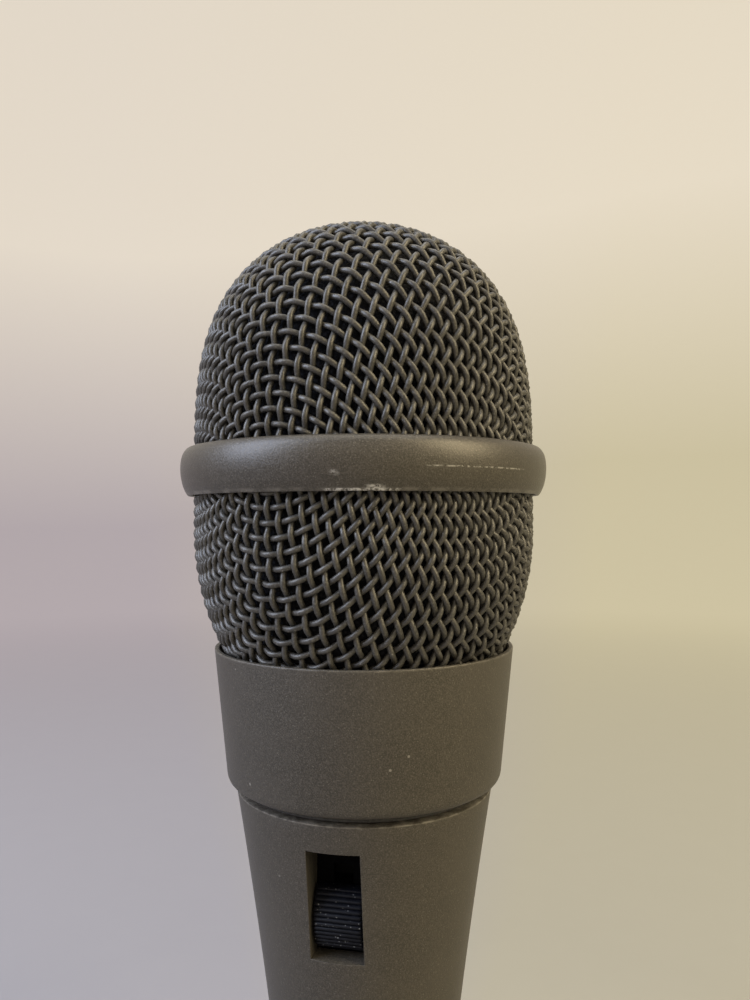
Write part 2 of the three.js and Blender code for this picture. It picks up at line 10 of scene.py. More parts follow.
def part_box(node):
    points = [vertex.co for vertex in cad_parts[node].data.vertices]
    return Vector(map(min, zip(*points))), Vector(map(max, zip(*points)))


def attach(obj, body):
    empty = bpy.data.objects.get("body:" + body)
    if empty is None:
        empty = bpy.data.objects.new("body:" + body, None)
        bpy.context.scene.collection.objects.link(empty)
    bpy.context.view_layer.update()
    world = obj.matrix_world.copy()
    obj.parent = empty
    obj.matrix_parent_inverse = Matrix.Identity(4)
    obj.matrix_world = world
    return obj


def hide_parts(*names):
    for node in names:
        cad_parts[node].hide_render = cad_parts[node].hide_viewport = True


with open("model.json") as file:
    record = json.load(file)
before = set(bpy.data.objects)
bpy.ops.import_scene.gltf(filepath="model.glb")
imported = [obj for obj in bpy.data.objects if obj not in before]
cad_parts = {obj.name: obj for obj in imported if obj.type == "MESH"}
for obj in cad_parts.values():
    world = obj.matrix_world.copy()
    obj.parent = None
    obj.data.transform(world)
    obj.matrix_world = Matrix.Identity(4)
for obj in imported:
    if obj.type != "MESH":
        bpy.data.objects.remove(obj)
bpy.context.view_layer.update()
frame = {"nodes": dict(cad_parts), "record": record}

# Lengths below are in millimetres; MM turns them into the scene's metres.
MM = 0.001
TURNED_SIDES = 256


def foot(node):
    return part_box(node)[0].z / MM


def top(node):
    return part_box(node)[1].z / MM


def reach(node):
    """The largest radius of a turned CAD node."""
    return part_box(node)[1].x / MM


# ---------------------------------------------------------------- materials


class Paint:
    """A small node-graph builder round one Principled shader."""

    def __init__(self, name):
        self.material = bpy.data.materials.new(name)
        self.material.use_nodes = True
        self.tree = self.material.node_tree
        self.shader = self.tree.nodes["Principled BSDF"]
        self.place = self.node("ShaderNodeTexCoord").outputs["Object"]

    def node(self, kind, **settings):
        made = self.tree.nodes.new(kind)
        for key, value in settings.items():
            setattr(made, key, value)
        return made

    def feed(self, socket, value):
        if isinstance(value, bpy.types.NodeSocket):
            self.tree.links.new(value, socket)
        elif isinstance(value, tuple) and len(value) == 3 and socket.type == "RGBA":
            socket.default_value = (*value, 1)
        else:
            socket.default_value = value

    def noise(self, scale, detail=3.0, roughness=0.5, stretch=None):
        made = self.node("ShaderNodeTexNoise")
        place = self.place
        if stretch:
            mapping = self.node("ShaderNodeMapping")
            self.feed(mapping.inputs["Vector"], place)
            mapping.inputs["Scale"].default_value = stretch
            place = mapping.outputs["Vector"]
        self.feed(made.inputs["Vector"], place)
        self.feed(made.inputs["Scale"], scale)
        self.feed(made.inputs["Detail"], detail)
        self.feed(made.inputs["Roughness"], roughness)
        return made.outputs["Fac"]

    def specks(self, scale, size):
        """1 inside sparse round specks, falling to 0 at their rims."""
        cells = self.node("ShaderNodeTexVoronoi")
        self.feed(cells.inputs["Vector"], self.place)
        self.feed(cells.inputs["Scale"], scale)
        return self.ramp(cells.outputs["Distance"], size * 0.6, size, 1.0, 0.0)

    def ramp(self, value, low, high, start=0.0, end=1.0):
        made = self.node("ShaderNodeMapRange", clamp=True)
        self.feed(made.inputs["Value"], value)
        self.feed(made.inputs["From Min"], low)
        self.feed(made.inputs["From Max"], high)
        self.feed(made.inputs["To Min"], start)
        self.feed(made.inputs["To Max"], end)
        return made.outputs["Result"]

    def sum(self, operation, a, b, clamp=False):
        made = self.node("ShaderNodeMath", operation=operation, use_clamp=clamp)
        self.feed(made.inputs[0], a)
        self.feed(made.inputs[1], b)
        return made.outputs[0]

    def mix(self, share, a, b, blend="MIX"):
        made = self.node("ShaderNodeMix", data_type="RGBA", blend_type=blend)
        self.feed(made.inputs["Factor"], share)
        self.feed(made.inputs[6], a)
        self.feed(made.inputs[7], b)
        return made.outputs[2]

    def bump(self, height, distance, strength=1.0, below=None):
        made = self.node("ShaderNodeBump")
        self.feed(made.inputs["Height"], height)
        self.feed(made.inputs["Distance"], distance * MM)
        self.feed(made.inputs["Strength"], strength)
        if below is not None:
            self.feed(made.inputs["Normal"], below)
        return made.outputs["Normal"]

    def axis(self, name):
        split = self.node("ShaderNodeSeparateXYZ")
        self.feed(split.inputs[0], self.place)
        return split.outputs[name]

    def belt(self, middle, half_width, soft):
        """1 within a belt of heights, in millimetres, fading over the soft width."""
        away = self.sum("ABSOLUTE", self.sum("SUBTRACT", self.axis("Z"), middle * MM), 0.0)
        return self.ramp(away, half_width * MM, (half_width + soft) * MM, 1.0, 0.0)

    def finish(self, colour, roughness, metallic=0.0, normal=None, specular=0.5, coat=0.0):
        self.feed(self.shader.inputs["Base Color"], colour)
        self.feed(self.shader.inputs["Roughness"], roughness)
        self.feed(self.shader.inputs["Metallic"], metallic)
        self.feed(self.shader.inputs["Specular IOR Level"], specular)
        self.feed(self.shader.inputs["Coat Weight"], coat)
        if normal is not None:
            self.feed(self.shader.inputs["Normal"], normal)
        return self.material


def sandy_paint(name, worn_belts=(), scratches=(), gloss=0.0):
    """Fine textured lacquer with metallic grains, their sparkle painted in as light glints, dust specks,
    rubbed edges and scratches.
    """
    p = Paint(name)
    grain = p.noise(5200.0, 2.0, 0.6)
    patches = p.noise(130.0, 4.0, 0.6)
    colour = p.mix(p.ramp(patches, 0.35, 0.65), (0.047, 0.041, 0.030), (0.059, 0.051, 0.038))
    colour = p.mix(p.ramp(grain, 0.42, 0.60), colour, (0.088, 0.076, 0.058))
    # Lighter specks: the paint's metallic grains, with their sparkle painted into the colour as glints
    # (painted highlights).
    grain_and_painted_glints = p.specks(2300.0, 0.22)
    colour = p.mix(p.sum("MULTIPLY", grain_and_painted_glints, 0.4), colour, (0.20, 0.18, 0.14))
    dust = p.sum("MULTIPLY", p.specks(330.0, 0.075), p.ramp(p.noise(90.0), 0.54, 0.62))
    colour = p.mix(p.sum("MULTIPLY", dust, 0.6), colour, (0.36, 0.33, 0.27))
    rough = p.ramp(grain, 0.3, 0.7, 0.42 - gloss, 0.60 - gloss)
    for middle, half_width, soft, strength in worn_belts:
        rub = p.sum("MULTIPLY", p.belt(middle, half_width, soft), strength)
        rub = p.sum("MULTIPLY", rub, p.ramp(p.noise(520.0, 5.0, 0.7), 0.42, 0.62, 0.1, 1.0))
        colour = p.mix(rub, colour, (0.30, 0.27, 0.22))
    for x_low, x_high, middle, half_width, strength in scratches:
        mark = p.sum("MULTIPLY", p.belt(middle, half_width, half_width), strength)
        for low, start, end in ((x_low, 0.0, 1.0), (x_high, 1.0, 0.0)):
            side = p.ramp(p.axis("X"), (low - 0.5) * MM, (low + 0.5) * MM, start, end)
            mark = p.sum("MULTIPLY", mark, side)
        mark = p.sum("MULTIPLY", mark, p.ramp(p.axis("Y"), -0.001, 0.0, 1.0, 0.0))
        mark = p.sum("MULTIPLY", mark, p.ramp(p.noise(1500.0, 4.0, 0.7), 0.44, 0.56))
        colour = p.mix(mark, colour, (0.62, 0.59, 0.52))
    height = p.sum("ADD", grain, p.sum("MULTIPLY", p.noise(1500.0, 3.0, 0.6), 0.6))
    return p.finish(colour, rough, 0.35, p.bump(height, 0.05, 0.55), 0.5)


def plain(name, colour, other, roughness, metallic=0.0, scale=900.0, depth=0.02, coat=0.0, shine=0.5):
    """A surface with fine mottling, handling marks and a faint bump."""
    p = Paint(name)
    fine = p.noise(scale, 4.0, 0.6)
    broad = p.noise(scale / 9, 3.0, 0.55)
    mottled = p.mix(p.ramp(fine, 0.35, 0.65), colour, other)
    mottled = p.mix(p.ramp(broad, 0.4, 0.7, 0.0, 0.35), mottled, other)
    rough = p.ramp(broad, 0.3, 0.7, roughness * 0.85, min(roughness * 1.2, 1.0))
    return p.finish(mottled, rough, metallic, p.bump(fine, depth, 0.5), shine, coat)


def foam_material():
    p = Paint("acoustic_foam")
    pores = p.node("ShaderNodeTexVoronoi")
    p.feed(pores.inputs["Vector"], p.place)
    p.feed(pores.inputs["Scale"], 1900.0)
    shade = p.ramp(pores.outputs["Distance"], 0.1, 0.6)
    colour = p.mix(shade, (0.020, 0.020, 0.022), (0.006, 0.006, 0.007))
    return p.finish(colour, 0.95, 0.0, p.bump(pores.outputs["Distance"], 0.25, 0.9), 0.15)


def wire_material():
    """Dark mottled lacquer on steel wire, with lighter grain and sparse dust specks."""
    p = Paint("mesh_wire")
    grain = p.noise(3800.0, 3.0, 0.65)
    patches = p.noise(240.0, 4.0, 0.6)
    colour = p.mix(p.ramp(patches, 0.3, 0.7), (0.054, 0.050, 0.042), (0.084, 0.078, 0.066))
    colour = p.mix(p.ramp(grain, 0.5, 0.72), colour, (0.155, 0.143, 0.120))
    dust = p.sum("MULTIPLY", p.specks(900.0, 0.10), p.ramp(p.noise(160.0), 0.5, 0.6))
    colour = p.mix(p.sum("MULTIPLY", dust, 0.6), colour, (0.42, 0.40, 0.37))
    rough = p.ramp(grain, 0.3, 0.7, 0.34, 0.52)
    return p.finish(colour, rough, 0.45, p.bump(grain, 0.03, 0.6), 0.5)


def ribbed_plastic():
    p = Paint("black_plastic")
    grain = p.noise(2600.0, 3.0, 0.6)
    colour = p.mix(p.ramp(grain, 0.35, 0.65), (0.0024, 0.0028, 0.0046), (0.006, 0.0066, 0.010))
    dust = p.sum("MULTIPLY", p.specks(1900.0, 0.20), p.ramp(p.noise(600.0), 0.42, 0.54))
    colour = p.mix(p.sum("MULTIPLY", dust, 0.6), colour, (0.30, 0.30, 0.29))
    return p.finish(colour, p.ramp(grain, 0.3, 0.7, 0.36, 0.5), 0.0, p.bump(grain, 0.02, 0.6), 0.18)


# ------------------------------------------------------------------- shapes


def piece(name, points, faces, body, material, replaces=(), smooth=40):
    """Makes a mesh object from millimetre points and lets it ride on a CAD body."""
    mesh = bpy.data.meshes.new(name)
    mesh.from_pydata((np.asarray(points, float) * MM).tolist(), [], faces)
    mesh.validate()
    made = bpy.data.objects.new(name, mesh)
    bpy.context.scene.collection.objects.link(made)
    return dress(made, body, material, replaces, smooth)


def dress(made, body, material, replaces=(), smooth=40):
    mesh = made.data
    mesh.materials.clear()
    mesh.materials.append(material)
    mesh.polygons.foreach_set("use_smooth", [True] * len(mesh.polygons))
    if smooth < 180:
        mesh.set_sharp_from_angle(angle=math.radians(smooth))
    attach(made, body)
    if replaces:
        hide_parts(*replaces)
    return made


def rounded(corners, steps=4):
    """Turns [r, z, fillet] corners of a closed outline into a list with round corners."""
    out = []
    count = len(corners)
    for i, (r, z, fillet) in enumerate(corners):
        here = np.array([r, z], float)
        if fillet <= 0:
            out.append(here)
            continue
        before = np.array(corners[i - 1][:2], float) - here
        after = np.array(corners[(i + 1) % count][:2], float) - here
        start = here + before / np.linalg.norm(before) * fillet
        end = here + after / np.linalg.norm(after) * fillet
        for t in np.linspace(0, 1, steps + 1):
            out.append((1 - t) ** 2 * start + 2 * t * (1 - t) * here + t**2 * end)
    return out


def turned(outline, sides=TURNED_SIDES, closed=True):
    """Points and faces of a revolved [r, z] outline, listed up the outside."""
    rows = len(outline)
    angle = np.linspace(0, 2 * math.pi, sides, endpoint=False)
    points = []
    index = np.zeros((rows, sides), int)
    for i, (r, z) in enumerate(outline):
        if r < 1e-6:
            index[i] = len(points)
            points.append((0.0, 0.0, z))
            continue
        index[i] = np.arange(sides) + len(points)
        points.extend(zip(r * np.cos(angle), r * np.sin(angle), np.full(sides, z)))
    faces = []
    last = rows if closed and outline[0][0] > 1e-6 else rows - 1
    for i in range(last):
        low, high = index[i], index[(i + 1) % rows]
        for j in range(sides):
            k = (j + 1) % sides
            ring = [low[j], low[k], high[k], high[j]]
            face = [int(v) for n, v in enumerate(ring) if v != ring[n - 1]]
            if len(face) >= 3:
                faces.append(face)
    return points, faces


def block(name, low, high):
    """A plain box used only as a cutter."""
    x0, y0, z0 = low
    x1, y1, z1 = high
    points = [(x, y, z) for x in (x0, x1) for y in (y0, y1) for z in (z0, z1)]
    faces = [(0, 1, 3, 2), (4, 6, 7, 5), (0, 4, 5, 1), (2, 3, 7, 6), (0, 2, 6, 4), (1, 5, 7, 3)]
    mesh = bpy.data.meshes.new(name)
    mesh.from_pydata((np.array(points, float) * MM).tolist(), [], faces)
    made = bpy.data.objects.new(name, mesh)
    bpy.context.scene.collection.objects.link(made)
    return made


def loose(name, points, faces):
    mesh = bpy.data.meshes.new(name)
    mesh.from_pydata((np.asarray(points, float) * MM).tolist(), [], faces)
    made = bpy.data.objects.new(name, mesh)
    bpy.context.scene.collection.objects.link(made)
    return made


def carve(target, tool, operation="DIFFERENCE"):
    """Applies one exact boolean and removes the tool."""
    modifier = target.modifiers.new("carve", "BOOLEAN")
    modifier.operation = operation
    modifier.solver = "EXACT"
    modifier.object = tool
    settle(target)
    bpy.data.objects.remove(tool)


def settle(made):
    """Replaces a mesh by its modified form and clears the modifiers."""
    bpy.context.view_layer.update()
    graph = bpy.context.evaluated_depsgraph_get()
    mesh = bpy.data.meshes.new_from_object(made.evaluated_get(graph))
    made.modifiers.clear()
    made.data = mesh


def tubes(paths, radius, sides=8):
    """Points and faces of capped round tubes along several polylines."""
    points, faces = [], []
    turn = np.linspace(0, 2 * math.pi, sides, endpoint=False)
    base = 0
    for path, outward in paths:
        path = np.asarray(path)
        along = np.gradient(path, axis=0)
        along /= np.linalg.norm(along, axis=1)[:, None]
        side = np.cross(along, outward)
        side /= np.linalg.norm(side, axis=1)[:, None]
        lift = np.cross(side, along)
        ring = path[:, None] + radius * (
            np.cos(turn)[None, :, None] * side[:, None] + np.sin(turn)[None, :, None] * lift[:, None]
        )
        count = len(path)
        points.append(ring.reshape(-1, 3))
        for i in range(count - 1):
            a = base + i * sides
            for j in range(sides):
                k = (j + 1) % sides
                faces.append((a + j, a + sides + j, a + sides + k, a + k))
        faces.append(tuple(base + j for j in range(sides)))
        faces.append(tuple(base + (count - 1) * sides + j for j in reversed(range(sides))))
        base += count * sides
    return np.concatenate(points), faces


# -------------------------------------------------------------- woven mesh

# Wire radius, half the height of the weave's wave, and points from one crossing to the next.
WIRE = 0.39
WAVE = 0.34
STEPS = 4
# Cell lengths along a grid meridian, at shares of the way from the pole to the band.
DOME_CELL_SHARES = (0, 0.35, 0.52, 0.72, 1)
DOME_CELLS = (2.0, 2.15, 2.1, 1.95, 1.9)
BASKET_CELLS = (2.0, 1.9)
# How far cells lean between grid meridians, and how far the front's cells are drawn apart.
NET_LEAN = 0.075
PULL = 0.13
FRONT = math.radians(-80.4)
WEAVE_TURN = math.radians(-102.9)
SOLVE_ROUNDS, HALVINGS = 6, 26
NORMAL_REACH = 0.15
BALL_RADIUS = reach("grille_dome")
MID_INSET = WIRE + WAVE
DOME_TOP = top("grille_dome")
DOME_BASE = 144.62
DOME_FLANK_POWER = 0.98
DOME_CROWN_POWER = 0.633
BASKET_STRAIGHT_FOOT = 135.34
BASKET_DROP = 31.83
BASKET_POWER = 1.936
BAND_MIDDLE = (foot("grille_band") + top("grille_band")) / 2


def dome_meridian():
    """Radius and height along the ball's upper half, from crown to widest level and on down."""
    angle = np.linspace(math.pi / 2, 0, 4000)
    radius = (BALL_RADIUS - MID_INSET) * np.clip(np.cos(angle), 0, 1) ** DOME_FLANK_POWER
    z = DOME_BASE + (DOME_TOP - MID_INSET - DOME_BASE) * np.sin(angle) ** DOME_CROWN_POWER
    return np.append(radius, radius[-1]), np.append(z, BAND_MIDDLE - 12)


def basket_meridian():
    """Radius and height from the lower half's unseen pole up to the band."""
    fall = 1 - np.linspace(0, 1, 4000) ** 1.7
    radius = (BALL_RADIUS - MID_INSET) * (1 - fall**BASKET_POWER) ** (1 / BASKET_POWER)
    z = BASKET_STRAIGHT_FOOT - (BASKET_DROP - MID_INSET) * fall
    return np.append(radius, radius[-1]), np.append(z, BAND_MIDDLE + 12)


class DrawnMesh:
    """A square wire mesh drawn over a surface of revolution.

    Wires are numbered from the pole. Counted along a meridian that follows the grid,
    cells are longest on the shoulder. Between two such meridians the cells lean over.
    """

    def __init__(self, radius, z, outward, rim_z, cell_shares, cell_lengths):
        step = np.hypot(np.diff(radius), np.diff(z))
        self.arc = np.concatenate([[0], np.cumsum(step)])
        self.radius, self.z, self.outward = radius, z, outward
        self.rim = self.arc[np.abs(z - rim_z).argmin()]
        cell = np.interp(self.arc / self.rim, cell_shares, cell_lengths)
        self.count = np.concatenate([[0], np.cumsum(step / cell[1:])])

    def lean(self, arc):
        """How far the net has left plain polar spacing, 0 at the pole to its full value."""
        share = np.clip(arc / self.rim, 0, 1)
        return NET_LEAN * share * share * (3 - 2 * share)

    def place(self, u, v):
        """Surface point and outward normal where wires u and v cross."""
        a, b = np.abs(u), np.abs(v)
        arc = np.interp(np.hypot(a, b), self.count, self.arc)
        for _ in range(SOLVE_ROUNDS):
            c = self.lean(arc)
            low, high = np.zeros_like(a), np.full_like(a, math.pi / 2)
            for _ in range(HALVINGS):
                mid = (low + high) / 2
                short = spread(mid, c) * a < spread(math.pi / 2 - mid, c) * b
                low, high = np.where(short, mid, low), np.where(short, high, mid)
            mid = (low + high) / 2
            size = np.hypot(spread(mid, c), spread(math.pi / 2 - mid, c))
            arc = np.interp(np.hypot(a, b) / size, self.count, self.arc)
        azimuth = np.arctan2(np.sin(mid) * np.sign(v), np.cos(mid) * np.sign(u))
        pull = PULL * np.clip(arc / self.rim, 0, 1)
        azimuth = azimuth + WEAVE_TURN + pull * np.sin(azimuth + WEAVE_TURN - FRONT)
        r = np.interp(arc, self.arc, self.radius)
        z = np.interp(arc, self.arc, self.z)
        before = np.clip(arc - NORMAL_REACH, 0, self.arc[-1])
        after = np.clip(arc + NORMAL_REACH, 0, self.arc[-1])
        dr = np.interp(after, self.arc, self.radius) - np.interp(before, self.arc, self.radius)
        dz = np.interp(after, self.arc, self.z) - np.interp(before, self.arc, self.z)
        size = np.hypot(dr, dz)
        nr, nz = -dz / size * self.outward, dr / size * self.outward
        across = np.stack([np.cos(azimuth), np.sin(azimuth)], -1)
        point = np.concatenate([r[..., None] * across, z[..., None]], -1)
        normal = np.concatenate([nr[..., None] * across, nz[..., None]], -1)
        return point, normal

    def wires(self, family, keep):
        """(path, outward) of each wire of one family, cut where keep(z) is false."""
        most = int(self.count[-1])
        along = np.arange(-most, most + 1e-9, 1 / STEPS)
        found = []
        for line in range(-most, most + 1):
            fixed = np.full_like(along, float(line))
            u, v = (along, fixed) if family == "warp" else (fixed, along)
            point, normal = self.place(u, v)
            side = 1.0 if (line % 2 == 0) == (family == "warp") else -1.0
            path = point + WAVE * side * np.cos(math.pi * along)[:, None] * normal
            inside = keep(path[:, 2]) & (np.hypot(u, v) < 1.5 * most)
            edges = np.flatnonzero(np.diff(np.concatenate([[False], inside, [False]]).astype(int)))
            for first, last in edges.reshape(-1, 2):
                if last - first > STEPS:
                    found.append((path[first:last], normal[first:last]))
        return found


def spread(angle, c):
    """Share of the wire count reached at an angle from a grid meridian."""
    return (np.sin(angle) - c * np.sin(3 * angle)) / (1 + c)


wire_look = wire_material()
meshes = {
    "dome": DrawnMesh(*dome_meridian(), 1.0, DOME_BASE, DOME_CELL_SHARES, DOME_CELLS),
    "basket": DrawnMesh(*basket_meridian(), -1.0, BASKET_STRAIGHT_FOOT, (0, 1), BASKET_CELLS),
}
basket_foot = foot("grille_basket") + WIRE
zones = {
    "dome": lambda z: z > BAND_MIDDLE + 0.4,
    "basket": lambda z: (z > basket_foot) & (z < BAND_MIDDLE - 0.4),
}
for part, net in meshes.items():
    for family in ("warp", "weft"):
        points, faces = tubes(net.wires(family, zones[part]), WIRE)
        name = f"grille_{part}_{family}"
        piece(name, points, faces, "head", wire_look, [f"grille_{part}"], 180)

# --------------------------------------------------------------- foam liner

FOAM_INSET = 2 * (WIRE + WAVE) + 0.25
FOAM_THICKNESS = 2.2


def ball_outline(inset, lowest):
    """[r, z] from a lowest level up over the crown, drawn in by an inset."""
    rows = []
    for z in np.linspace(lowest, BASKET_STRAIGHT_FOOT, 30):
        fall = (BASKET_STRAIGHT_FOOT - z) / BASKET_DROP
        rows.append(((BALL_RADIUS - inset) * (1 - fall**BASKET_POWER) ** (1 / BASKET_POWER), z))
    for angle in np.linspace(0, 1, 40) ** 1.6 * math.pi / 2:
        radius = (BALL_RADIUS - inset) * max(math.cos(angle), 0) ** DOME_FLANK_POWER
        z = DOME_BASE + (DOME_TOP - DOME_BASE - inset) * math.sin(angle) ** DOME_CROWN_POWER
        rows.append((radius if angle < 1.5707 else 0.0, z))
    return rows


foam_foot = foot("foam_liner") + 0.4
outside = ball_outline(FOAM_INSET, foam_foot)
inside = ball_outline(FOAM_INSET + FOAM_THICKNESS, foam_foot)
FOAM_SIDES = 96
points, faces = turned(outside + inside[::-1], FOAM_SIDES, closed=False)
lip = len(points) - FOAM_SIDES
for j in range(FOAM_SIDES):
    k = (j + 1) % FOAM_SIDES
    faces.append((j, lip + j, lip + k, k))
foam = piece("foam_liner_skin", points, faces, "head", foam_material(), ["foam_liner"], 60)

# ---------------------------------------------------------- band and collar

band_foot = foot("grille_band")
BAND_BORE = 25.43
band = rounded([
    (BAND_BORE, band_foot + 0.15, 0.1),
    (25.9, band_foot, 0.12),
    (26.25, band_foot + 0.55, 0.15),
    (26.62, band_foot + 1.4, 0.3),
    (26.92, band_foot + 2.7, 0.6),
    (27.0, band_foot + 4.1, 0.6),
    (26.9, band_foot + 5.2, 0.5),
    (26.62, band_foot + 6.1, 0.4),
    (26.1, band_foot + 6.75, 0.25),
    (25.55, band_foot + 6.88, 0.1),
    (BAND_BORE, band_foot + 6.6, 0.0),
])
points, faces = turned(band)
band_marks = [
    (1.4, 10.0, band_foot + 0.22, 0.10, 0.9),
    (6.6, 8.2, band_foot + 0.45, 0.22, 0.8),
    (2.4, 3.0, band_foot + 2.2, 0.22, 0.6),
    (13.5, 24.0, band_foot + 3.05, 0.06, 0.4),
]
band_look = sandy_paint("band_paint", [(band_foot + 0.25, 0.10, 0.25, 0.35)], band_marks, 0.12)
piece("grille_band_ring", points, faces, "head", band_look, ["grille_band"], 40)

collar_foot, collar_top = foot("collar"), top("collar")
THREAD_BORE = 16.5
collar = rounded([
    (THREAD_BORE, collar_foot, 0.25),
    (20.1, collar_foot, 1.25),
    (22.08, collar_top, 0.22),
    (21.40, collar_top, 0.15),
    (20.8, collar_top - 4.0, 0.2),
    (18.3, collar_top - 4.0, 0.2),
    (18.3, collar_foot + 6.0, 0.3),
    (THREAD_BORE, collar_foot + 5.1, 0.2),
], 6)
points, faces = turned(collar)
body_look = sandy_paint("body_paint", [(collar_top - 0.12, 0.1, 0.14, 0.22), (98.28, 0.1, 0.16, 0.6)])
piece("collar_ring", points, faces, "head", body_look, ["collar"], 40)

washer_foot, washer_top = foot("seal_washer"), top("seal_washer")
washer = rounded([
    (16.5, washer_foot, 0.08),
    (18.2, washer_foot, 0.15),
    (18.2, washer_top, 0.15),
    (16.5, washer_top, 0.08),
])
points, faces = turned(washer, 160)
washer_look = plain("washer_fibre", (0.020, 0.019, 0.017), (0.050, 0.046, 0.040), 0.8, scale=1800.0)
piece("seal_washer_ring", points, faces, "washer", washer_look, ["seal_washer"], 40)

# ------------------------------------------------------------------- handle

HANDLE_TOP = washer_foot - 0.3
TOP_RADIUS = 18.86
TOP_SLOPE = 0.1644
CURVE = 0.000522
BLEND = 67.0
FLARE_FOOT = 24.0
WALL = 2.0
NECK_TOP = top("handle_shell")
NECK_BORE = 14.0
NECK_ROOT = 15.72
WINDOW_FLOOR = -12.6
WINDOW_HALF = 3.6
WINDOW_FOOT, WINDOW_TOP = 79.5, 94.5


def handle_radius(z):
    depth = HANDLE_TOP - np.maximum(z, BLEND)
    radius = TOP_RADIUS - TOP_SLOPE * depth + CURVE * depth**2
    slope = TOP_SLOPE - 2 * CURVE * (HANDLE_TOP - BLEND)
    length = BLEND - FLARE_FOOT
    rise = np.clip(np.asarray(z, float), FLARE_FOOT, BLEND) - FLARE_FOOT
    return radius - slope * (length**2 - rise**2) / (2 * length)


tail = float(handle_radius(0.0))
levels = list(np.linspace(FLARE_FOOT, HANDLE_TOP - 0.5, 60))
outline = [(0.0, 0.0), (tail - 0.45, 0.0), (tail - 0.13, 0.13), (tail, 0.45)]
outline += [(float(handle_radius(z)), z) for z in levels]
outline += [(TOP_RADIUS - 0.13, HANDLE_TOP - 0.12), (TOP_RADIUS - 0.4, HANDLE_TOP)]
outline += [(NECK_ROOT, HANDLE_TOP), (NECK_ROOT, NECK_TOP - 0.4)]
outline += [(NECK_ROOT - 0.4, NECK_TOP), (0.0, NECK_TOP)]
handle = loose("handle_casting", *turned(outline, closed=False))
hollow = [(0.0, -1.0), (8.6, -1.0), (8.6, 0.0), (8.0, 0.6), (8.0, 20.0), (6.9, 20.0), (6.9, 21.5)]
hollow += [(float(handle_radius(z)) - WALL, z) for z in np.linspace(25, 79, 24)]
hollow += [(NECK_BORE, 85.0), (NECK_BORE, NECK_TOP + 1), (0.0, NECK_TOP + 1)]
cavity = loose("cavity", *turned(hollow, closed=False))
carve(cavity, block("boss", (-5.0, -22.0, 76.2), (5.0, WINDOW_FLOOR, 97.8)))
carve(handle, cavity)
opening = ((-WINDOW_HALF, -22.0, WINDOW_FOOT), (WINDOW_HALF, WINDOW_FLOOR + 1, WINDOW_TOP))
carve(handle, block("window", *opening))
carve(handle, block("latch", (-1.5, 7.0, -1.0), (1.5, 9.0, 14.8)))
bore_points, bore_faces = turned([(0.0, 5.0), (1.4, 5.0), (1.4, 13.0), (0.0, 13.0)], 32, closed=False)
bore = loose("screw_bore", bore_points, bore_faces)
bore.data.transform(Matrix.Translation((0, 0, 0.0168)) @ Matrix.Rotation(-math.pi / 2, 4, "X"))
carve(handle, bore)


def soften_window(made, width):
    """Rounds only the outer rim of the switch window."""
    mesh = made.data
    weight = mesh.attributes.new("bevel_weight_edge", "FLOAT", "EDGE")
    co = np.array([v.co for v in mesh.vertices]) / MM
    radius = np.hypot(co[:, 0], co[:, 1])
    surface = np.abs(radius - handle_radius(co[:, 2])) < 0.06
    side = (np.abs(np.abs(co[:, 0]) - WINDOW_HALF) < 0.01) & (co[:, 1] < WINDOW_FLOOR)
    ends = (np.abs(co[:, 2] - WINDOW_FOOT) < 0.01) | (np.abs(co[:, 2] - WINDOW_TOP) < 0.01)
    ends &= (np.abs(co[:, 0]) < WINDOW_HALF + 0.01) & (co[:, 1] < WINDOW_FLOOR)
    within = (co[:, 2] > WINDOW_FOOT - 0.01) & (co[:, 2] < WINDOW_TOP + 0.01)
    values = []
    for edge in mesh.edges:
        a, b = edge.vertices
        both_side = side[a] and side[b] and within[a] and within[b]
        both_end = ends[a] and ends[b] and abs(co[a, 2] - co[b, 2]) < 0.01
        values.append(1.0 if surface[a] and surface[b] and (both_side or both_end) else 0.0)
    weight.data.foreach_set("value", values)
    modifier = made.modifiers.new("soften", "BEVEL")
    modifier.limit_method = "WEIGHT"
    modifier.width = width * MM
    modifier.segments = 3
    settle(made)


soften_window(handle, 0.16)
dress(handle, "handle", body_look, ["handle_shell"], 35)


def thread(radius_root, radius_crest, low, high, base, tip, phase):
    """A helical ridge with a 1 mm pitch, tapering to nothing at both ends."""
    turns = high - low
    steps = int(turns * 96)
    points, faces = [], []
    for n in range(steps + 1):
        share = n / steps
        angle = 2 * math.pi * (share * turns + phase)
        fade = min(1.0, share * turns * 3, (1 - share) * turns * 3)
        crest = radius_root + (radius_crest - radius_root) * fade
        z = low + share * turns
        for r, dz in ((radius_root, -base), (crest, -tip), (crest, tip), (radius_root, base)):
            points.append((r * math.cos(angle), r * math.sin(angle), z + dz))
    for n in range(steps):
        a = 4 * n
        for j in range(4):
            k = (j + 1) % 4
            ring = (a + j, a + k, a + 4 + k, a + 4 + j)
            faces.append(ring if radius_crest > radius_root else ring[::-1])
    faces.append((0, 3, 2, 1) if radius_crest > radius_root else (0, 1, 2, 3))
    end = 4 * steps
    last = (end, end + 1, end + 2, end + 3)
    faces.append(last if radius_crest > radius_root else last[::-1])
    return points, faces


points, faces = thread(NECK_ROOT - 0.03, 16.1, HANDLE_TOP + 0.7, NECK_TOP - 0.7, 0.42, 0.07, 0.0)
piece("neck_thread", points, faces, "handle", body_look, [], 30)
start = collar_foot + 0.6
points, faces = thread(THREAD_BORE + 0.03, 16.0, start, collar_foot + 4.6, 0.42, 0.06,
                       (start - HANDLE_TOP - 0.7) % 1 + 0.5)
piece("collar_thread", points, faces, "head", body_look, [], 30)

# ------------------------------------------------------------------- switch

knob_low, knob_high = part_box("switch_knob")
KNOB_SETTLE = 0.7
knob_foot, knob_top = knob_low.z / MM - KNOB_SETTLE, knob_high.z / MM - KNOB_SETTLE
knob_back = knob_high.y / MM
KNOB_HALF = 3.3
RIBS = 13
CREST, ENDS = -15.8, -14.4


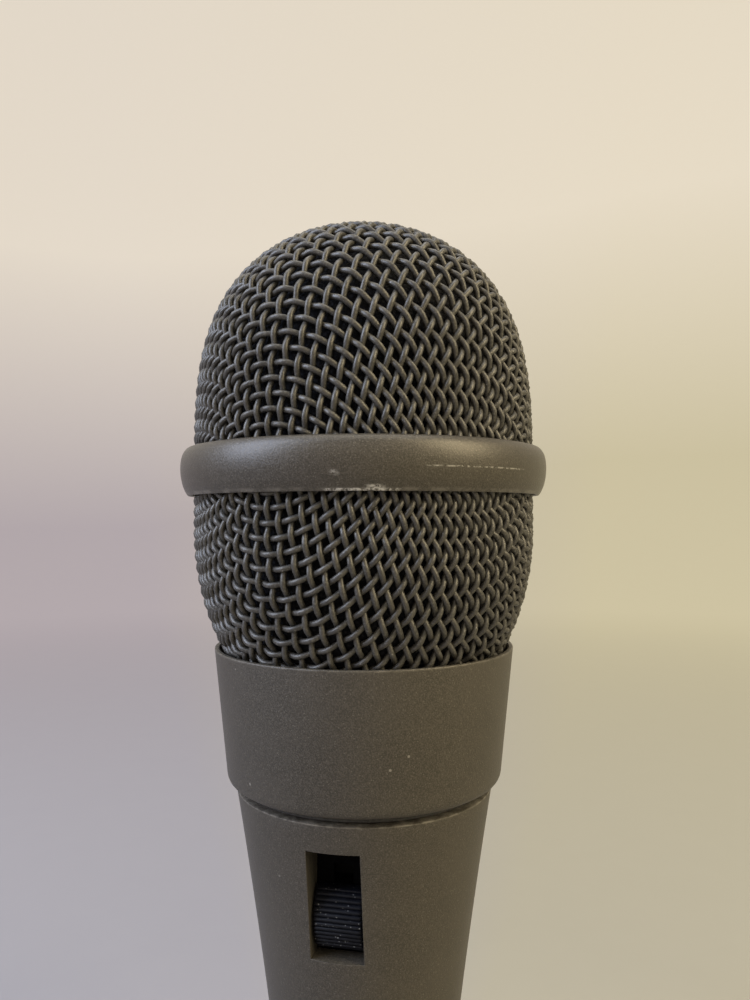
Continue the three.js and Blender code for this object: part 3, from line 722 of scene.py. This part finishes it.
def knob_shape():
    """Arched thumb piece with rounded crossing ribs and softened flanks."""
    middle, half = (knob_foot + knob_top) / 2, (knob_top - knob_foot) / 2
    along = np.linspace(-1, 1, RIBS * 10 + 1)
    arch = ENDS + (CREST - ENDS) * (1 - along**2)
    rib = np.abs(np.sin(along * RIBS * math.pi / 2 + math.pi / 2 * (RIBS % 2 == 0)))
    depth = 0.30 * (1 - rib**0.75)
    across = np.array([-1.0, -0.985, -0.95, -0.85, 0.0, 0.85, 0.95, 0.985, 1.0])
    drop = np.array([0.45, 0.2, 0.07, 0.0, 0.0, 0.0, 0.07, 0.2, 0.45])
    points, faces = [], []
    width = len(across)
    for t, y, d in zip(along, arch, depth):
        round_end = 0.35 * max(0.0, (abs(t) - 0.93) / 0.07) ** 2
        for x, fall in zip(across, drop):
            points.append((x * KNOB_HALF, y + d + fall + round_end, middle + t * half))
    rows = len(along)
    for i in range(rows - 1):
        for j in range(width - 1):
            a = i * width + j
            faces.append((a, a + 1, a + width + 1, a + width))
    base = len(points)
    rim = list(range(width)) + [i * width + width - 1 for i in range(1, rows)]
    rim += [(rows - 1) * width + j for j in range(width - 2, -1, -1)]
    rim += [i * width for i in range(rows - 2, 0, -1)]
    for v in rim:
        x, y, z = points[v]
        points.append((x, knob_back, z))
    count = len(rim)
    for n in range(count):
        m = (n + 1) % count
        faces.append((rim[n], base + n, base + m, rim[m]))
    faces.append(tuple(base + n for n in reversed(range(count))))
    return points, faces


points, faces = knob_shape()
knob = loose("switch_thumb_piece", points, faces)
built = bmesh.new()
built.from_mesh(knob.data)
bmesh.ops.recalc_face_normals(built, faces=built.faces)
built.to_mesh(knob.data)
built.free()
SOCKET_HALF = 1.4
carve(knob, block("socket", (-SOCKET_HALF, knob_back - 1.1, 83.6), (SOCKET_HALF, knob_back + 1, 86.8)))
knob_look = ribbed_plastic()
dress(knob, "switch_carriage", knob_look, ["switch_knob"], 50)

# ---------------------------------------------------------------- connector

brass_look = plain("brass_metal", (0.42, 0.30, 0.12), (0.55, 0.42, 0.2), 0.3, 0.95, 700.0, 0.01)
insert_foot, insert_top = foot("xlr_insert"), top("xlr_insert")
insert = rounded([
    (1e-3, insert_foot, 0.0),
    (7.65, insert_foot, 0.3),
    (7.65, insert_top, 0.2),
    (1e-3, insert_top, 0.0),
])
insert[0][0] = insert[-1][0] = 0.0
plug = loose("connector_insert", *turned(insert, 96, closed=False))
PIN_HOLE = 1.3
for number in (1, 2, 3):
    low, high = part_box(f"xlr_pin_{number}")
    centre = (low + high) / 2 / MM
    pin = rounded([(0.0, low.z / MM, 0.0), (0.9, low.z / MM, 0.3), (1.2, low.z / MM + 0.9, 0.4),
                   (1.2, high.z / MM, 0.1), (0.0, high.z / MM, 0.0)], 5)
    points, faces = turned(pin, 40, closed=False)
    points = [(x + centre.x, y + centre.y, z) for x, y, z in points]
    name = f"contact_pin_{number}"
    piece(name, points, faces, "handle", brass_look, [f"xlr_pin_{number}"], 40)
    low_end, high_end = insert_foot - 1, insert_top + 1
    hole = [(0.0, low_end), (PIN_HOLE, low_end), (PIN_HOLE, high_end), (0.0, high_end)]
    points, faces = turned(hole, 40, closed=False)
    points = [(x + centre.x, y + centre.y, z) for x, y, z in points]
    carve(plug, loose("pin_hole", points, faces))
insert_look = plain("insert_plastic", (0.012, 0.012, 0.013), (0.022, 0.022, 0.024), 0.5, 0.0, 1300.0)
dress(plug, "handle", insert_look, ["xlr_insert"], 40)

# ------------------------------------------------- finish of the CAD pieces

steel_look = plain("bare_steel", (0.40, 0.40, 0.41), (0.52, 0.52, 0.53), 0.34, 0.95, 800.0, 0.01)
# The switch body's steel is painted near black: painted shade, so the slot behind the thumb piece reads as a
# dark recess.
SHADE_BLACK, SHADE_LESS_BLACK = (0.004, 0.004, 0.004), (0.010, 0.010, 0.010)
steel_painted_shade_look = plain("steel_painted_shade_black", SHADE_BLACK, SHADE_LESS_BLACK, 0.6, 0.3, 900.0, shine=0.2)
# The switch plate's own black, darkened further towards zero as painted shade of the deep pocket it lines.
PLATE_BLACK_SHADE, PLATE_GREY_SHADE = (0.001, 0.001, 0.0012), (0.003, 0.003, 0.0035)
plate_black_and_shade_look = plain("plate_plastic_with_painted_shade", PLATE_BLACK_SHADE, PLATE_GREY_SHADE, 0.8, 0.0, 1500.0, shine=0.05)
rubber_look = plain("black_rubber", (0.016, 0.016, 0.017), (0.030, 0.030, 0.031), 0.85, 0.0, 1200.0, 0.05)
grey_look = plain("grey_plastic", (0.045, 0.047, 0.051), (0.062, 0.064, 0.069), 0.55, 0.0, 1300.0)
magnet_look = plain("magnet_metal", (0.14, 0.14, 0.15), (0.21, 0.21, 0.22), 0.42, 0.85, 600.0, 0.02)
copper_look = plain("enamelled_copper", (0.36, 0.13, 0.05), (0.48, 0.21, 0.09), 0.35, 0.85, 1600.0, 0.05)
film_look = plain("polyester_film", (0.56, 0.58, 0.56), (0.66, 0.67, 0.65), 0.22, 0.0, 500.0, 0.01, 0.4)
felt_look = plain("grey_felt", (0.12, 0.11, 0.10), (0.21, 0.20, 0.18), 0.95, 0.0, 2600.0, 0.12)
board_look = plain("board_laminate", (0.022, 0.09, 0.04), (0.035, 0.13, 0.06), 0.4, 0.0, 700.0, 0.02, 0.2)
glue_look = plain("amber_glue", (0.22, 0.11, 0.03), (0.32, 0.18, 0.06), 0.35, 0.0, 400.0, 0.08, 0.3)
red_look = plain("red_insulation", (0.30, 0.02, 0.015), (0.40, 0.04, 0.03), 0.42, 0.0, 900.0, 0.01)
black_look = plain("black_insulation", (0.012, 0.012, 0.013), (0.024, 0.024, 0.025), 0.42, 0.0, 900.0, 0.01)
green_look = plain("green_insulation", (0.02, 0.12, 0.04), (0.04, 0.18, 0.07), 0.42, 0.0, 900.0, 0.01)
look_of_slot = {
    "black_rubber": rubber_look,
    "black_plastic": plate_black_and_shade_look,
    "grey_plastic": grey_look,
    "bare_steel": steel_look,
    "magnet_metal": magnet_look,
    "brass_metal": brass_look,
    "enamelled_copper": copper_look,
    "polyester_film": film_look,
    "grey_felt": felt_look,
    "board_laminate": board_look,
    "amber_glue": glue_look,
    "red_insulation": red_look,
    "black_insulation": black_look,
    "green_insulation": green_look,
}
for row in frame["record"]["subparts"]:
    look = look_of_slot.get(row["material_slot"])
    node = frame["nodes"][row["node"]]
    # The switch body, seen through the plate's slot, takes the near-black painted-shade steel.
    if row["node"] == "switch_body":
        look = steel_painted_shade_look
    if look and not node.hide_render:
        node.data.materials.clear()
        node.data.materials.append(look)
        node.data.polygons.foreach_set("use_smooth", [True] * len(node.data.polygons))
        node.data.set_sharp_from_angle(angle=math.radians(35))

# -------------------------------------------------------------------- stage


def backdrop():
    """A pale floor that sweeps up into a far round wall, glowing with painted light and shade: a lilac-grey
    painted shadow low on the left, warm painted light low on the right, pale cream higher up and a dimmer
    glow near the microphone's foot.
    """
    rows = [(0.0, 0.0)]
    rows += [(r, 0.0) for r in (0.3, 0.6, 0.9)]
    rows += [(0.9 + 0.5 * math.sin(a), 0.5 - 0.5 * math.cos(a)) for a in np.linspace(0, math.pi / 2, 16)[1:]]
    rows += [(1.4, 1.6)]
    points, faces = turned([(r / MM, z / MM) for r, z in rows], 64, closed=False)
    floor = loose("studio_floor", points, faces)
    floor.data.polygons.foreach_set("use_smooth", [True] * len(floor.data.polygons))
    p = Paint("studio_paper_painted_light")
    fibres = p.noise(60.0, 4.0, 0.6)
    paper = p.mix(p.ramp(fibres, 0.3, 0.7, 0.0, 0.06), (0.24, 0.23, 0.215), (0.30, 0.29, 0.27))
    reach_out = p.node("ShaderNodeVectorMath", operation="LENGTH")
    p.feed(reach_out.inputs[0], p.place)
    sideways = p.node("ShaderNodeVectorMath", operation="DOT_PRODUCT")
    p.feed(sideways.inputs[0], p.place)
    sideways.inputs[1].default_value = (math.cos(VIEW_TURN), math.sin(VIEW_TURN), 0.0)
    bearing = p.sum("DIVIDE", sideways.outputs["Value"], reach_out.outputs["Value"])
    across = p.ramp(bearing, -0.30, 0.30)
    # Colours of the glow: lower down, a lilac-grey painted shadow on the left and warm yellow painted light
    # on the right; higher up, pale cream painted light.
    low = p.mix(across, (0.26, 0.225, 0.265), (0.42, 0.37, 0.22))
    high = p.mix(across, (0.62, 0.56, 0.48), (0.64, 0.57, 0.45))
    # Slanting height where the lower painted shadow and warm light give way to the pale upper glow.
    rise = p.ramp(p.sum("SUBTRACT", p.axis("Z"), p.sum("MULTIPLY", across, 0.12)), 0.12, 0.62)
    # A dimmer painted glow near the microphone's foot, lilac on the left and yellow on the right.
    painted_light_near = p.mix(across, (0.04, 0.045, 0.10), (0.12, 0.10, 0.03))
    painted_light_glow = p.mix(p.ramp(reach_out.outputs["Value"], 0.15, 1.0), painted_light_near, p.mix(rise, low, high))
    p.feed(p.shader.inputs["Emission Color"], painted_light_glow)
    p.feed(p.shader.inputs["Emission Strength"], 1.0)
    floor.data.materials.append(p.finish(paper, 0.9, 0.0, p.bump(fibres, 0.1, 0.2), 0.1))


def softbox(name, position, target, size, power, colour):
    light = bpy.data.lights.new(name, "AREA")
    light.shape = "RECTANGLE"
    light.size, light.size_y = size
    light.energy = power
    light.color = colour
    made = bpy.data.objects.new(name, light)
    made.location = position
    made.rotation_euler = (Vector(target) - Vector(position)).to_track_quat("-Z", "Y").to_euler()
    bpy.context.scene.collection.objects.link(made)


VIEW_TURN = math.radians(12.6)
backdrop()


def seen_from_camera(right, away, up):
    """A point given as right of, beyond and above the tail as the camera faces it."""
    c, s = math.cos(VIEW_TURN), math.sin(VIEW_TURN)
    return Vector((right * c - away * s, right * s + away * c, up))


aim = (0, 0, 0.12)
softbox("cool_left", seen_from_camera(-0.45, -0.15, 0.42), aim, (0.30, 0.50), 4.2, (0.62, 0.73, 1.0))
softbox("warm_right", seen_from_camera(0.42, -0.22, 0.44), aim, (0.26, 0.45), 3.0, (1.0, 0.86, 0.58))
softbox("overhead", seen_from_camera(0.0, 0.05, 0.85), aim, (0.6, 0.6), 3.0, (1.0, 0.98, 0.95))
softbox("room_front", seen_from_camera(0.1, -0.9, 0.5), aim, (0.8, 0.8), 0.25, (1.0, 0.98, 0.96))

world = bpy.data.worlds.new("studio")
world.use_nodes = True
world.node_tree.nodes["Background"].inputs["Color"].default_value = (0.93, 0.92, 0.90, 1)
world.node_tree.nodes["Background"].inputs["Strength"].default_value = 0.35
bpy.context.scene.world = world

# ------------------------------------------------------------------- camera

TILT_UP = math.radians(1.253)
ROLL = math.radians(-0.155)
lens = bpy.data.cameras.new("camera")
lens.sensor_width = 36.0
lens.lens = 28.08
lens.clip_start = 0.005
lens.clip_end = 20.0
camera = bpy.data.objects.new("camera", lens)
camera.matrix_world = (
    Matrix.Translation(seen_from_camera(0.001675, -0.11797, 0.13743))
    @ Matrix.Rotation(VIEW_TURN, 4, "Z")
    @ Matrix.Rotation(math.pi / 2 + TILT_UP, 4, "X")
    @ Matrix.Rotation(ROLL, 4, "Z")
)
bpy.context.scene.collection.objects.link(camera)
bpy.context.scene.camera = camera
bpy.context.scene.view_settings.view_transform = "Standard"
